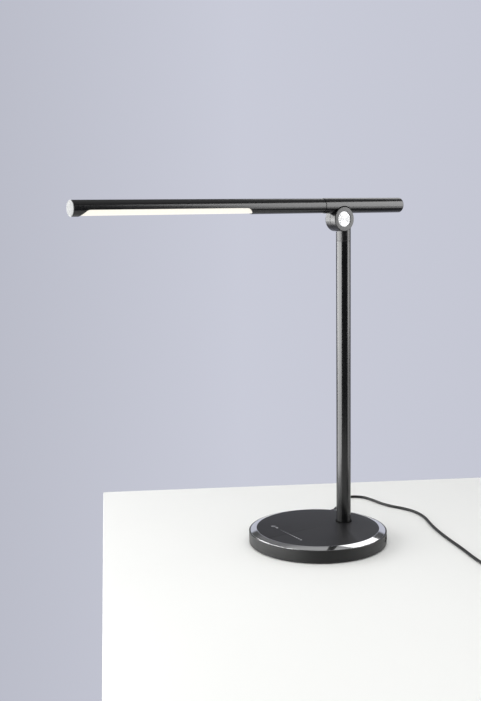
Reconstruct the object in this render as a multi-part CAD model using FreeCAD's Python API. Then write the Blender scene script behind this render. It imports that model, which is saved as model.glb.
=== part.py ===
import FreeCAD, Part
import math
import os

# LED table lamp: weighted round base, pole, split friction hinge and a tube light that turns on its arm.
# Millimetres, +Z up. The origin is the middle of the base's underside, the light's tip points to -Y and the
# bright disc of the hinge faces +X.

# Fits and rooms
slip = 0.05            # radial room of turned fits and tight seats
face_room = 0.05       # room on each side of a washer between two moving pieces
mould_room = 0.15      # room round moulded and pressed-in pieces

# Base
base_diameter = 180.0
rim_lift = 1.0         # height of the shell's lower edge over the table
shell_wall = 2.5
deck_thickness = 1.4
rim_round = 1.0
lip_round = 0.5
ring_setback = 2.0     # dark lip left outside the bright ring
ring_width = 8.0
ring_rise = 2.9
ring_edge = 0.4        # upright outer edge of the bright ring
ring_land = 0.5        # flat inner edge of the bright ring
ring_soften = 0.15
panel_soften = 0.25
pad_margin = 3.5       # from the wall's inside to the pad
pad_thickness = 2.0
cover_thickness = 3.5
weight_margin = 5.0    # room between the counterweight and the wall
weight_web = 2.0       # iron left over the nut's pocket
weight_room = 2.6      # from the counterweight to the boards
screw_count = 5
screw_inset = 13.5     # from the wall's inside to the screws
screw_first_angle = 18.0
screw_radius = 1.4
screw_length = 8.0
screw_head_radius = 2.8
screw_head_height = 1.2
boss_radius = 4.5
spigot_radius = 3.0

# Boards and sockets
board_thickness = 1.6
power_board_width = 29.0
power_board_margin = 2.5
power_board_overhang = 15.0  # degrees of board past the middle of each socket
touch_board_length = 92.0
touch_board_width = 16.0
touch_board_x = -5.0
touch_board_inset = 33.5     # from the panel's edge to the middle of the touch board
usb_angle = 39.5
usb_width = 13.2
usb_height = 5.8
usb_depth = 14.0
usb_skin = 0.4
usb_tongue_width = 11.0
usb_tongue_height = 1.9
usb_tongue_length = 9.0
usb_back = 3.0
bezel_side = 2.9
bezel_rim = 1.3
bezel_depth = 2.8
bezel_inset = 1.2      # the bezel's face lies this far inside the wall's outside
dc_angle = 130.0
dc_width = 9.0
dc_foot_room = 0.3
dc_depth = 14.0
dc_bore_depth = 10.4
dc_pin_radius = 1.0
dc_pin_inset = 1.9
inlet_room = 0.3
notch_room = 1.5

# Pole and its fixing
pole_diameter = 19.0
pole_wall = 1.2
pole_setback = 46.0    # pole's axis inside the base's edge
pole_top = 391.2
insert_length = 20.0
nipple_radius = 5.0
nipple_grip = 18.0     # length of nipple screwed into the insert
wire_room = 0.4        # room round the lead in every passage
nut_flats = 16.0
nut_height = 3.0
nut_washer_radius = 10.0
nut_washer_thickness = 1.2
nut_pocket_room = 2.0
nut_room = 0.3         # under the nut
nipple_inset = 0.2     # the nipple ends this far inside the nut
foot_ring_width = 1.3
foot_ring_height = 1.3
foot_ring_round = 0.4
lead_radius = 2.0

# Swivel at the top of the pole
spindle_length = 20.0
journal_radius = 5.5
journal_length = 9.8
groove_depth = 1.0
groove_width = 2.6
groove_height = 5.3    # from the pole's top to the middle of the groove
swivel_washer = 0.5
set_screw_radius = 2.0
set_screw_inset = 0.5
set_screw_room = 0.3

# Split hinge
hinge_offset = 6.2     # hinge axis ahead of the pole's axis
hinge_rise = 28.3      # hinge axis above the pole's top
barrel_radius = 15.6
barrel_round = 0.9
friction_washer = 0.5
friction_washer_radius = 8.5
barrel_room = 0.65     # room for the rear half in the collar
pocket_room = 1.0      # open gap between the front half and the sleeve
neck_front_drop = 4.0  # the collar's neck ends this far below the hinge axis at the front half
neck_rear_drop = 10.5  # and this far below it under the rear half
bolt_radius = 4.0
bolt_head_radius = 6.5
bolt_head_height = 4.0
hinge_disc_radius = 10.0
hinge_disc_thickness = 1.1
hinge_disc_inset = 0.5
hinge_nut_flats = 13.0
hinge_nut_height = 2.6
spring_washer_radius = 7.4
spring_washer_thickness = 0.5
spring_washer_dish = 0.45
nut_turn_room = 0.8
nut_end_room = 0.55
rear_floor = 3.2       # thickness of the rear half under the springs
rear_cap_radius = 12.0
rear_cap_thickness = 1.4
wire_ring_rim = 1.85   # wall outside the ring groove for the lead's loop
wire_ring_width = 4.2
wire_ring_depth = 2.6

# Arm
arm_rise = 17.0        # arm axis above the hinge axis
sleeve_diameter = 19.5
sleeve_wall = 1.2
sleeve_reach = 28.3    # sleeve ahead of the hinge axis
sleeve_tail = 102.2    # sleeve behind the hinge axis
sleeve_end = 2.0
sleeve_round = 2.0
core_tail = 37.2
roll_flange = 3.0
roll_stub_step = 1.0   # the stub is this much thinner than the journal
roll_washer = 0.5
hub_length = 17.9
hub_wall = 1.75
clip_room = 0.3
clip_thickness = 1.0
clip_depth = 0.8
clip_lip = 1.3
clip_mouth = 6.0
journal_lip = 1.2      # length of journal past the clip

# Light tube
light_diameter = 18.5
light_wall = 1.2
light_length = 344.4
lens_inset = 8.0       # from the tube's tip to the lens
lens_length = 229.5
lens_ramp = 9.0
lens_drop = 1.9        # the lens's long edges lie this far below the arm axis
lens_blend = 8.0
lens_room = 0.1
lens_wall = 1.6
lens_sink = 1.0        # the lens's outside lies this far inside the tube's
lens_rail = 0.9        # rails on the lens's long edges that snap in under the carrier
lens_rail_room = 0.2
led_room = 0.1         # the chips lie this far above the lens's long edges
carrier_floor = 1.6
carrier_wall = 1.4
carrier_front_room = 2.6
carrier_rear_room = 2.5
led_board_width = 11.0
led_board_thickness = 0.8
led_board_room = 5.0   # board ends this far inside the lens's ends
led_count = 30
led_width = 2.8
led_length = 3.5
led_height = 0.6
light_lead_radius = 1.5
cap_step = 0.35
cap_thickness = 0.8
cap_round = 0.25
cap_spigot = 7.9
cap_wall = 2.2
cap_web = 1.6
tip_screw_room = 5.5   # from the tube's end to the screw
tip_screw_radius = 1.0
tip_screw_head = 1.4
tip_screw_head_height = 1.0
tip_screw_inset = 0.7
tip_screw_length = 2.2

# Lead, plug and adapter
cord_diameter = 3.8
plug_barrel_radius = 2.75
plug_room = 0.4        # round the barrel in the socket
pin_room = 0.3         # round the socket's pin in the barrel
plug_end_room = 1.4
plug_hold = 4.0        # length of the barrel held in the grip
plug_shoulder_radius = 3.6
grip_gap = 0.6
grip_radius = 4.6
grip_length = 12.0
grip_round = 0.8
grip_groove = 0.4
grip_groove_count = 4
relief_length = 9.4
relief_lip = 0.5       # wall left round the cord at the relief's end
# Places of the lead on the table, and how far it lies above the table there
cord_route = [(-88.5, 106.0, 4.5), (-100.0, 119.0, 1.1), (-113.5, 131.0, 0.1),
              (-125.0, 140.5, 0.1), (-132.5, 151.0, 0.1), (-133.4, 163.5, 0.1), (-127.7, 174.6, 0.1),
              (-117.0, 181.1, 0.1), (-99.0, 181.5, 0.1), (-79.0, 179.3, 0.1), (-58.0, 181.5, 0.1),
              (-37.0, 189.0, 0.1), (-14.0, 190.3, 0.1), (12.0, 182.0, 0.1), (38.0, 166.5, 0.1),
              (70.0, 151.0, 0.1), (104.0, 137.5, 0.1), (138.0, 125.2, 0.1), (170.0, 111.7, 0.1),
              (196.0, 103.0, 0.1)]
lead_out = 11.3        # straight length of lead out of the plug
lead_in = 14.0         # straight length of lead into the coil
coil_start = (228.0, 100.0)
coil_radius = 30.3
coil_turns_in = 3.5
coil_turns_out = 3.42
coil_gap = 0.5         # between neighbouring turns
tie_thickness = 1.0
tie_width = 10.0
tie_room = 0.3
tie_turn = 0.8         # where the tie sits, in turns from the coil's start
adapter_relief_length = 28.0
adapter_relief_radius = 3.8
adapter_length = 46.0
adapter_width = 34.0
adapter_height = 24.0
adapter_round = 4.0
pin_radius = 2.0
pin_length = 19.0
adapter_seam_inset = 13.0   # parting groove, from the pins' face
adapter_seam_width = 0.7
adapter_seam_depth = 0.4
relief_groove_count = 3
relief_groove_width = 1.6
relief_groove_depth = 0.8
pin_spacing = 18.6
pin_root = 3.0         # length of each pin held in the adapter's body

UP = FreeCAD.Vector(0, 0, 1)
ALONG = FreeCAD.Vector(0, 1, 0)
ACROSS = FreeCAD.Vector(1, 0, 0)
ORIGIN = FreeCAD.Vector(0, 0, 0)

# Levels and places worked out from the sizes above
base_radius = base_diameter / 2
inner_wall = base_radius - shell_wall
cover_top = rim_lift + cover_thickness
nut_pocket_top = cover_top + nut_room + nut_height + nut_washer_thickness
weight_top = nut_pocket_top + weight_web
board_under = weight_top + weight_room
deck_under = board_under + board_thickness
deck_top = deck_under + deck_thickness
panel_top = deck_top + ring_rise
pad_radius = inner_wall - pad_margin
screw_circle = inner_wall - screw_inset
weight_radius = inner_wall - weight_margin
power_board_outer = inner_wall - power_board_margin
ring_outer = base_radius - ring_setback
ring_inner = ring_outer - ring_width
touch_board_y = touch_board_inset - ring_inner
usb_level = board_under - usb_height / 2
bezel_width = usb_width + 2 * bezel_side
bezel_height = usb_height + 2 * bezel_rim
bezel_face = base_radius - bezel_inset
dc_height = board_under - cover_top - dc_foot_room
dc_level = board_under - dc_height / 2
dc_front = inner_wall - mould_room
dc_bore = plug_barrel_radius + plug_room
pole_radius = pole_diameter / 2
pole_bore = pole_radius - pole_wall
pole_y = base_radius - pole_setback
pole_centre = FreeCAD.Vector(0, pole_y, 0)
nipple_low = cover_top + nut_room + nipple_inset
wire_way = lead_radius + wire_room
spindle_foot = pole_top - spindle_length
journal_top = pole_top + journal_length
collar_low = pole_top + swivel_washer + 2 * face_room
hinge_height = pole_top + hinge_rise
hinge = FreeCAD.Vector(0, pole_y - hinge_offset, hinge_height)
split = friction_washer / 2 + face_room
spring_stack = 2 * (spring_washer_thickness + spring_washer_dish)
spring_front = split + rear_floor + face_room
hinge_nut_front = spring_front + spring_stack
hinge_nut_end = hinge_nut_front + hinge_nut_height
rear_cap_floor = hinge_nut_end + nut_end_room
barrel_half = rear_cap_floor + rear_cap_thickness
nut_recess_radius = max(hinge_nut_flats / math.sqrt(3), spring_washer_radius) + nut_turn_room
wire_ring_outer = barrel_radius - wire_ring_rim
wire_ring_inner = wire_ring_outer - wire_ring_width
hinge_disc_floor = barrel_half - hinge_disc_inset - hinge_disc_thickness
bolt_head_top = hinge_disc_floor - mould_room
sleeve_radius = sleeve_diameter / 2
sleeve_bore = sleeve_radius - sleeve_wall
arm_axis = hinge + UP * arm_rise
sleeve_front = hinge.y - sleeve_reach
sleeve_rear = hinge.y + sleeve_tail
core_front = sleeve_front + roll_flange
core_rear = hinge.y + core_tail
stub_end = hinge.y - barrel_radius
light_radius = light_diameter / 2
light_bore = light_radius - light_wall
roll_journal_radius = light_bore - slip - hub_wall
roll_stub_radius = roll_journal_radius - roll_stub_step
clip_radius = roll_journal_radius + clip_lip
light_rear = sleeve_front - roll_washer - 2 * face_room
light_tip = light_rear - light_length
lens_front = light_tip + lens_inset
lens_rear = lens_front + lens_length
hub_front = light_rear - hub_length
clip_rear = hub_front - clip_room
journal_tip = clip_rear - clip_thickness - journal_lip
carrier_rear = journal_tip - carrier_rear_room
carrier_front = light_tip + cap_spigot + carrier_front_room
carrier_flat = arm_axis.z - lens_drop + led_room + led_height + led_board_thickness
led_board_under = carrier_flat - led_board_thickness
led_board_front = lens_front + led_board_room
led_board_rear = lens_rear - led_board_room
cap_radius = light_radius - cap_step
cord_radius = cord_diameter / 2
coil_pitch = cord_diameter + coil_gap
coil_middle = coil_turns_in + 0.25  # the turn at which the coil is tightest
plug_reach = dc_bore_depth - plug_end_room
grip_start = base_radius + grip_gap
grip_end = grip_start + grip_length
relief_end = grip_end + relief_length
coil_low = tie_thickness + tie_room + cord_radius
beyond = base_diameter  # longer than any piece that it cuts


def rod(radius, low, high, centre, axis):
    """A cylinder about the line through centre along axis, between two levels on that axis."""
    return Part.makeCylinder(radius, high - low, centre + axis * (low - centre.dot(axis)), axis)


def ring(outer, inner, low, high, centre, axis):
    return rod(outer, low, high, centre, axis).cut(rod(inner, low, high, centre, axis))


def outline(corners, place):
    """A closed wire through corners (a, b, radius), rounded by radius; place takes a and b into space."""
    stops = []
    for i, (a, b, radius) in enumerate(corners):
        here = place(a, b)
        if radius == 0:
            stops.append((here, here, None))
            continue
        back = (place(*corners[i - 1][:2]) - here).normalize()
        ahead = (place(*corners[(i + 1) % len(corners)][:2]) - here).normalize()
        half = back.getAngle(ahead) / 2
        reach = radius / math.tan(half)
        apex = here + (back + ahead).normalize() * (radius / math.sin(half) - radius)
        stops.append((here + back * reach, here + ahead * reach, apex))
    edges = []
    for i, (enter, leave, apex) in enumerate(stops):
        if apex is not None:
            edges.append(Part.Arc(enter, apex, leave).toShape())
        following = stops[(i + 1) % len(stops)][0]
        if leave.distanceToPoint(following) > 1e-6:
            edges.append(Part.LineSegment(leave, following).toShape())
    return Part.Wire(edges)


def turned(corners, centre, axis):
    """A turned piece from corners (radius, level, rounding) about the line through centre along axis."""
    out = ACROSS if abs(axis.x) < 0.5 else UP
    start = centre - axis * centre.dot(axis)
    face = Part.Face(outline(corners, lambda radius, level: start + out * radius + axis * level))
    return face.revolve(start, axis, 360)


def prism(corners, place, depth):
    return Part.Face(outline(corners, place)).extrude(depth)


def slab(width, height, rounding):
    """Corners of a rounded rectangle about the middle."""
    a, b = width / 2, height / 2
    return [(-a, -b, rounding), (a, -b, rounding), (a, b, rounding), (-a, b, rounding)]


def block(low, high):
    return Part.makeBox(*(h - l for l, h in zip(low, high)), FreeCAD.Vector(*low))


def hexagon(flats, low, high, centre, axis):
    side = UP if abs(axis.z) < 0.5 else ALONG
    across = axis.cross(side)
    start = centre + axis * (low - centre.dot(axis))
    reach = flats / math.sqrt(3)
    turns = [math.radians(60 * k) for k in range(6)]
    corners = [(reach * math.cos(turn), reach * math.sin(turn), 0) for turn in turns]
    return prism(corners, lambda a, b: start + side * a + across * b, axis * (high - low))


def fused(shapes):
    return shapes[0].fuse(shapes[1:]).removeSplitter()


def at_angle(shape, angle):
    """Turns a piece that was made on +X about the base's middle."""
    return shape.rotated(ORIGIN, UP, angle)


def screw_places():
    angles = [math.radians(screw_first_angle + 360 * k / screw_count) for k in range(screw_count)]
    return [FreeCAD.Vector(screw_circle * math.cos(a), screw_circle * math.sin(a), 0) for a in angles]


# Base

def anti_slip_pad():
    return rod(pad_radius, 0, pad_thickness, ORIGIN, UP)


def bottom_cover():
    head_floor = pad_thickness + screw_head_height + face_room
    cover = rod(inner_wall - mould_room, rim_lift, cover_top, ORIGIN, UP)
    cuts = [rod(pad_radius + mould_room, rim_lift, pad_thickness, ORIGIN, UP)]
    for place in screw_places():
        cuts.append(rod(screw_head_radius + mould_room, rim_lift, head_floor, place, UP))
        cuts.append(rod(screw_radius + mould_room, rim_lift, cover_top, place, UP))
    return cover.cut(cuts)


def bottom_screws():
    head_top = pad_thickness + screw_head_height + face_room
    screws = []
    for place in screw_places():
        head = rod(screw_head_radius, pad_thickness + face_room, head_top, place, UP)
        shank = rod(screw_radius, head_top, head_top + screw_length, place, UP)
        screws.append(fused([head, shank]))
    return Part.makeCompound(screws)


def counterweight():
    weight = rod(weight_radius, cover_top, weight_top, ORIGIN, UP)
    cuts = [rod(nipple_radius + mould_room, cover_top, weight_top, pole_centre, UP),
            rod(nut_washer_radius + nut_pocket_room, cover_top, nut_pocket_top, pole_centre, UP)]
    cuts += [rod(spigot_radius + mould_room, cover_top, weight_top, place, UP) for place in screw_places()]
    sockets = ((usb_angle, bezel_width, bezel_face, usb_depth), (dc_angle, dc_width, dc_front, dc_depth))
    for angle, width, front, depth in sockets:
        half = width / 2 + notch_room
        notch = block((front - depth - notch_room, -half, cover_top), (base_radius, half, weight_top))
        cuts.append(at_angle(notch, angle))
    return weight.cut(cuts)


def base_shell():
    shell = turned([(0, deck_under, 0), (inner_wall, deck_under, 0), (inner_wall, rim_lift, 0),
                    (base_radius, rim_lift, rim_round), (base_radius, deck_top, lip_round),
                    (0, deck_top, 0)], ORIGIN, UP)
    bosses, cuts = [], [rod(pole_radius + mould_room, deck_under, deck_top, pole_centre, UP)]
    pilot_top = pad_thickness + screw_head_height + screw_length + notch_room
    for place in screw_places():
        bosses.append(rod(boss_radius, weight_top, deck_under, place, UP))
        bosses.append(rod(spigot_radius, cover_top, weight_top, place, UP))
        cuts.append(rod(screw_radius + slip, cover_top, pilot_top, place, UP))
    window = prism(slab(bezel_width, bezel_height, bezel_height / 2),
                   lambda a, b: FreeCAD.Vector(inner_wall - shell_wall, a, usb_level + b),
                   ACROSS * (3 * shell_wall))
    inlet = rod(plug_shoulder_radius + inlet_room, inner_wall - shell_wall, base_radius + shell_wall,
                FreeCAD.Vector(0, 0, dc_level), ACROSS)
    cuts += [at_angle(window, usb_angle), at_angle(inlet, dc_angle)]
    return fused([shell] + bosses).cut(cuts)


def chrome_ring():
    return turned([(ring_inner, deck_top, 0), (ring_outer, deck_top, 0),
                   (ring_outer, deck_top + ring_edge, ring_soften),
                   (ring_inner + ring_land, panel_top, ring_soften), (ring_inner, panel_top, 0)],
                   ORIGIN, UP)


def touch_panel():
    edge = ring_inner - mould_room
    panel = turned([(0, deck_top, 0), (edge, deck_top, 0), (edge, panel_top, panel_soften),
                    (0, panel_top, 0)], ORIGIN, UP)
    return panel.cut(rod(pole_radius + mould_room, deck_top, panel_top, pole_centre, UP))


def power_board():
    first = usb_angle - power_board_overhang
    span = dc_angle + power_board_overhang - first
    blank = [(power_board_outer - power_board_width, board_under, 0), (power_board_outer, board_under, 0),
             (power_board_outer, deck_under, 0), (power_board_outer - power_board_width, deck_under, 0)]
    face = Part.Face(outline(blank, lambda radius, level: FreeCAD.Vector(radius, 0, level)))
    return at_angle(face.revolve(ORIGIN, UP, span), first).cut(board_holes())


def board_holes():
    holes = [rod(boss_radius + mould_room, board_under, deck_under, place, UP) for place in screw_places()]
    return holes + [rod(pole_radius + mould_room, board_under, deck_under, pole_centre, UP)]


def touch_board():
    board = prism(slab(touch_board_length, touch_board_width, rim_round),
                  lambda a, b: FreeCAD.Vector(touch_board_x + a, touch_board_y + b, board_under),
                  UP * board_thickness)
    return board.cut(board_holes())


def usb_bezel():
    room = mould_room
    plate = prism(slab(bezel_width - 2 * room, bezel_height - 2 * room, bezel_height / 2 - room),
                  lambda a, b: FreeCAD.Vector(bezel_face - bezel_depth, a, usb_level + b),
                  ACROSS * bezel_depth)
    half, rise = usb_width / 2 + room, usb_height / 2 + room
    window = block((bezel_face - bezel_depth, -half, usb_level - rise),
                   (bezel_face, half, usb_level + rise))
    return at_angle(plate.cut(window), usb_angle)


def usb_socket():
    front = bezel_face - usb_skin
    back = front - usb_depth
    half, rise = usb_width / 2, usb_height / 2
    shell = block((back, -half, usb_level - rise), (front, half, usb_level + rise))
    shell = shell.cut(block((back + usb_back, -half + usb_skin, usb_level - rise + usb_skin),
                            (front, half - usb_skin, usb_level + rise - usb_skin)))
    tongue_half, tongue_top = usb_tongue_width / 2, usb_level + rise - 2 * usb_skin
    tongue = block((back + usb_back, -tongue_half, tongue_top - usb_tongue_height),
                   (back + usb_back + usb_tongue_length, tongue_half, tongue_top))
    return at_angle(fused([shell, tongue]), usb_angle)


def dc_socket():
    axis = FreeCAD.Vector(0, 0, dc_level)
    half, rise = dc_width / 2, dc_height / 2
    body = block((dc_front - dc_depth, -half, dc_level - rise), (dc_front, half, dc_level + rise))
    body = body.cut(rod(dc_bore, dc_front - dc_bore_depth, dc_front, axis, ACROSS))
    pin = rod(dc_pin_radius, dc_front - dc_bore_depth, dc_front - dc_pin_inset, axis, ACROSS)
    return at_angle(fused([body, pin]), dc_angle)


# Pole

def pole_tube():
    return ring(pole_radius, pole_bore, weight_top, pole_top, pole_centre, UP)


def pole_insert():
    return ring(pole_bore - slip, nipple_radius + slip, weight_top, weight_top + insert_length,
                pole_centre, UP)


def pole_nipple():
    return ring(nipple_radius, wire_way, nipple_low, weight_top + nipple_grip, pole_centre, UP)


def pole_washer():
    return ring(nut_washer_radius, nipple_radius + slip, nut_pocket_top - nut_washer_thickness,
                nut_pocket_top, pole_centre, UP)


def pole_nut():
    top = nut_pocket_top - nut_washer_thickness
    nut = hexagon(nut_flats, top - nut_height, top, pole_centre, UP)
    return nut.cut(rod(nipple_radius + slip, top - nut_height, top, pole_centre, UP))


def foot_ring():
    inner, outer = pole_radius + slip, pole_radius + foot_ring_width
    top = panel_top + foot_ring_height
    return turned([(inner, panel_top, 0), (outer, panel_top, 0), (outer, top, foot_ring_round),
                   (inner, top, 0)], pole_centre, UP)


def pole_lead():
    return rod(lead_radius, nipple_low, journal_top, pole_centre, UP)


def swivel_spindle():
    middle = pole_top + groove_height
    body = rod(pole_bore - slip, spindle_foot, pole_top, pole_centre, UP)
    journal = rod(journal_radius, pole_top, journal_top, pole_centre, UP)
    groove = ring(journal_radius, journal_radius - groove_depth, middle - groove_width / 2,
                  middle + groove_width / 2,
                  pole_centre, UP)
    return fused([body, journal]).cut([groove, rod(wire_way, spindle_foot, journal_top, pole_centre, UP)])


def swivel_washer_ring():
    low = pole_top + face_room
    return ring(pole_radius - mould_room, journal_radius + mould_room, low, low + swivel_washer,
                pole_centre, UP)


# Swivel collar and hinge

def barrel_half_solid(side):
    """One half of the hinge barrel, on the +X side (1) or the -X side (-1) of the split."""
    return turned([(0, side * split, 0), (barrel_radius, side * split, 0),
                   (barrel_radius, side * barrel_half, barrel_round),
                   (0, side * barrel_half, 0)], hinge, ACROSS)


def swivel_collar():
    neck = rod(pole_radius, collar_low, hinge_height - neck_front_drop, pole_centre, UP)
    rear_room = rod(barrel_radius + barrel_room, -beyond, split, hinge, ACROSS)
    rear_top = block((-beyond, 0, hinge_height - neck_rear_drop), (split, beyond, hinge_height + beyond))
    collar = fused([neck.cut([rear_room, rear_top]), barrel_half_solid(1)])
    screw_level = pole_top + groove_height
    bore_top = journal_top + set_screw_room
    lead_top = hinge_height - wire_ring_inner
    cuts = [rod(journal_radius + slip, collar_low, bore_top, pole_centre, UP),
            rod(bolt_radius + slip, 0, barrel_half, hinge, ACROSS),
            rod(bolt_head_radius + mould_room, bolt_head_top - bolt_head_height, barrel_half, hinge,
                ACROSS),
            rod(hinge_disc_radius + mould_room, hinge_disc_floor, barrel_half, hinge, ACROSS),
            rod(set_screw_radius + slip, pole_y, pole_y + beyond, FreeCAD.Vector(0, 0, screw_level), ALONG),
            block((split, pole_y - wire_way, bore_top),
                  (split + 2 * wire_way, pole_y + wire_way, lead_top))]
    return collar.cut(cuts)


def swivel_set_screw():
    level = FreeCAD.Vector(0, 0, pole_top + groove_height)
    end = pole_y + pole_radius - set_screw_inset
    shoulder = pole_y + journal_radius + set_screw_room
    dog = rod(groove_width / 2 - set_screw_room, shoulder - groove_depth, end, level, ALONG)
    return fused([rod(set_screw_radius, shoulder, end, level, ALONG), dog])


def hinge_bolt():
    head_under = bolt_head_top - bolt_head_height
    head = rod(bolt_head_radius, head_under, bolt_head_top, hinge, ACROSS)
    return fused([head, rod(bolt_radius, -hinge_nut_end - face_room, head_under, hinge, ACROSS)])


def friction_washer_ring():
    half = friction_washer / 2
    return ring(friction_washer_radius, bolt_radius + slip, -half, half, hinge, ACROSS)


def spring_washers():
    """Dished washers stacked rim to rim and bore to bore on the bolt."""
    bore, rim = bolt_radius + slip, spring_washer_radius
    high, low = -spring_front, -hinge_nut_front
    middle = (low + high) / 2
    washers = []
    for outer, rim_level in ((high, middle + face_room), (low, middle - face_room)):
        skin = spring_washer_thickness if outer > middle else -spring_washer_thickness
        washers.append(turned([(bore, outer, 0), (rim, rim_level + skin, 0), (rim, rim_level, 0),
                               (bore, outer - skin, 0)],
                              hinge, ACROSS))
    return Part.makeCompound(washers)


def hinge_nut():
    nut = hexagon(hinge_nut_flats, -hinge_nut_end, -hinge_nut_front, hinge, ACROSS)
    return nut.cut(rod(bolt_radius + slip, -hinge_nut_end, -hinge_nut_front, hinge, ACROSS))


def hinge_disc():
    return rod(hinge_disc_radius, hinge_disc_floor, hinge_disc_floor + hinge_disc_thickness, hinge, ACROSS)


# Arm

def arm_knuckle():
    core = rod(sleeve_bore - slip, core_front, core_rear, arm_axis, ALONG)
    pocket = rod(barrel_radius + pocket_room, -split, beyond, hinge, ACROSS)
    knuckle = fused([barrel_half_solid(-1), core.cut(pocket)])
    lead_x = -(split + wire_ring_depth / 2)
    cuts = [rod(bolt_radius + slip, -barrel_half, 0, hinge, ACROSS),
            rod(nut_recess_radius, -barrel_half, -(split + rear_floor), hinge, ACROSS),
            rod(rear_cap_radius + mould_room, -barrel_half, -rear_cap_floor, hinge, ACROSS),
            ring(wire_ring_outer, wire_ring_inner, -(split + wire_ring_depth), 0, hinge, ACROSS),
            rod(wire_ring_depth / 2 - mould_room, hinge_height + wire_ring_inner, arm_axis.z,
                FreeCAD.Vector(lead_x, hinge.y, 0), UP),
            rod(wire_way, core_front, hinge.y + wire_way, arm_axis, ALONG),
            rod(roll_stub_radius + slip, core_front, stub_end + mould_room, arm_axis, ALONG)]
    return knuckle.cut(cuts)


def rear_hinge_cap():
    return rod(rear_cap_radius, -barrel_half, -rear_cap_floor, hinge, ACROSS)


def arm_sleeve():
    sleeve = turned([(0, sleeve_rear - sleeve_end, 0), (sleeve_bore, sleeve_rear - sleeve_end, 0),
                     (sleeve_bore, sleeve_front, 0), (sleeve_radius, sleeve_front, 0),
                     (sleeve_radius, sleeve_rear, sleeve_round), (0, sleeve_rear, 0)], arm_axis, ALONG)
    return sleeve.cut([rod(barrel_radius + slip, -beyond, -split, hinge, ACROSS),
                       rod(barrel_radius + pocket_room, -split, beyond, hinge, ACROSS)])


def roll_spindle():
    flange = rod(sleeve_bore - slip, sleeve_front, core_front, arm_axis, ALONG)
    stub = rod(roll_stub_radius, core_front, stub_end, arm_axis, ALONG)
    journal = rod(roll_journal_radius, journal_tip, sleeve_front, arm_axis, ALONG)
    seat = ring(roll_journal_radius, roll_journal_radius - clip_depth, clip_rear - clip_thickness - slip,
                clip_rear + slip, arm_axis, ALONG)
    hollow = rod(wire_way, journal_tip, stub_end, arm_axis, ALONG)
    return fused([flange, stub, journal]).cut([seat, hollow])


def roll_clip():
    inner = roll_journal_radius - clip_depth + slip
    clip = ring(clip_radius, inner, clip_rear - clip_thickness, clip_rear, arm_axis, ALONG)
    half = clip_mouth / 2
    mouth = block((-half, clip_rear - clip_thickness, arm_axis.z - clip_radius),
                  (half, clip_rear, arm_axis.z))
    return clip.cut(mouth)


def arm_lead():
    return rod(lead_radius, journal_tip, stub_end, arm_axis, ALONG)


# Light

def roll_washer_ring():
    low = light_rear + face_room
    return ring(light_radius - mould_room, roll_journal_radius + mould_room, low, low + roll_washer,
                arm_axis, ALONG)


def lens_form(shrink, drop):
    """The lens's side outline through the whole tube, with sloped ends and blended corners."""
    slope = lens_ramp / (light_radius - lens_drop)
    below = light_radius + light_wall
    front, rear = lens_front + shrink, lens_rear - shrink
    reach = slope * (below - light_radius)
    ramp = slope * (light_radius - drop)
    corners = [(front - reach, -below, 0), (front + ramp, -drop, lens_blend),
               (rear - ramp, -drop, lens_blend),
               (rear + reach, -below, 0)]
    return prism(corners, lambda a, b: FreeCAD.Vector(-light_diameter, a, arm_axis.z + b),
                 ACROSS * (2 * light_diameter))


def tip_screw_place():
    return FreeCAD.Vector(0, light_tip + tip_screw_room, 0)


def light_tube():
    tube = ring(light_radius, light_bore, light_tip, light_rear, arm_axis, ALONG)
    hole = rod(tip_screw_head + mould_room, arm_axis.z - light_diameter, arm_axis.z, tip_screw_place(), UP)
    return tube.cut([lens_form(0, lens_drop), hole])


def light_hub():
    return ring(light_bore - slip, roll_journal_radius + slip, hub_front, light_rear, arm_axis, ALONG)


def diffuser():
    form = lens_form(lens_room, lens_drop + lens_room)
    outside = light_radius - lens_sink
    body = rod(outside, light_tip, light_rear, arm_axis, ALONG).common(form)
    inside = rod(outside - lens_wall, light_tip, light_rear, arm_axis, ALONG)
    shell = body.cut(inside.common(lens_form(lens_room + lens_wall, 0)))
    front, rear = lens_front + 2 * lens_ramp, lens_rear - 2 * lens_ramp
    low = arm_axis.z - lens_drop - 2 * lens_room
    band = block((-light_radius, front, low), (light_radius, rear, carrier_flat - lens_rail_room))
    grip = light_bore - slip
    return fused([shell, ring(grip, grip - lens_rail, front, rear, arm_axis, ALONG).common(band)])


def half_round(radius, low, front, rear):
    """The part of a rod along the arm that lies above a level."""
    above = block((-radius, front, low), (radius, rear, arm_axis.z + radius))
    return rod(radius, front, rear, arm_axis, ALONG).common(above)


def led_carrier():
    outer = half_round(light_bore - slip, carrier_flat, carrier_front, carrier_rear)
    return outer.cut(half_round(light_bore - slip - carrier_wall, carrier_flat + carrier_floor,
                                carrier_front, carrier_rear))


def led_board():
    half = led_board_width / 2
    return block((-half, led_board_front, led_board_under), (half, led_board_rear, carrier_flat))


def led_chips():
    pitch = (led_board_rear - led_board_front) / led_count
    chips = []
    for k in range(led_count):
        middle = led_board_front + pitch * (k + 0.5)
        chips.append(block((-led_width / 2, middle - led_length / 2, led_board_under - led_height),
                           (led_width / 2, middle + led_length / 2, led_board_under)))
    return Part.makeCompound(chips)


def light_lead():
    centre = FreeCAD.Vector(0, 0, carrier_flat - light_lead_radius - slip)
    return rod(light_lead_radius, led_board_rear, carrier_rear, centre, ALONG)


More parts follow.
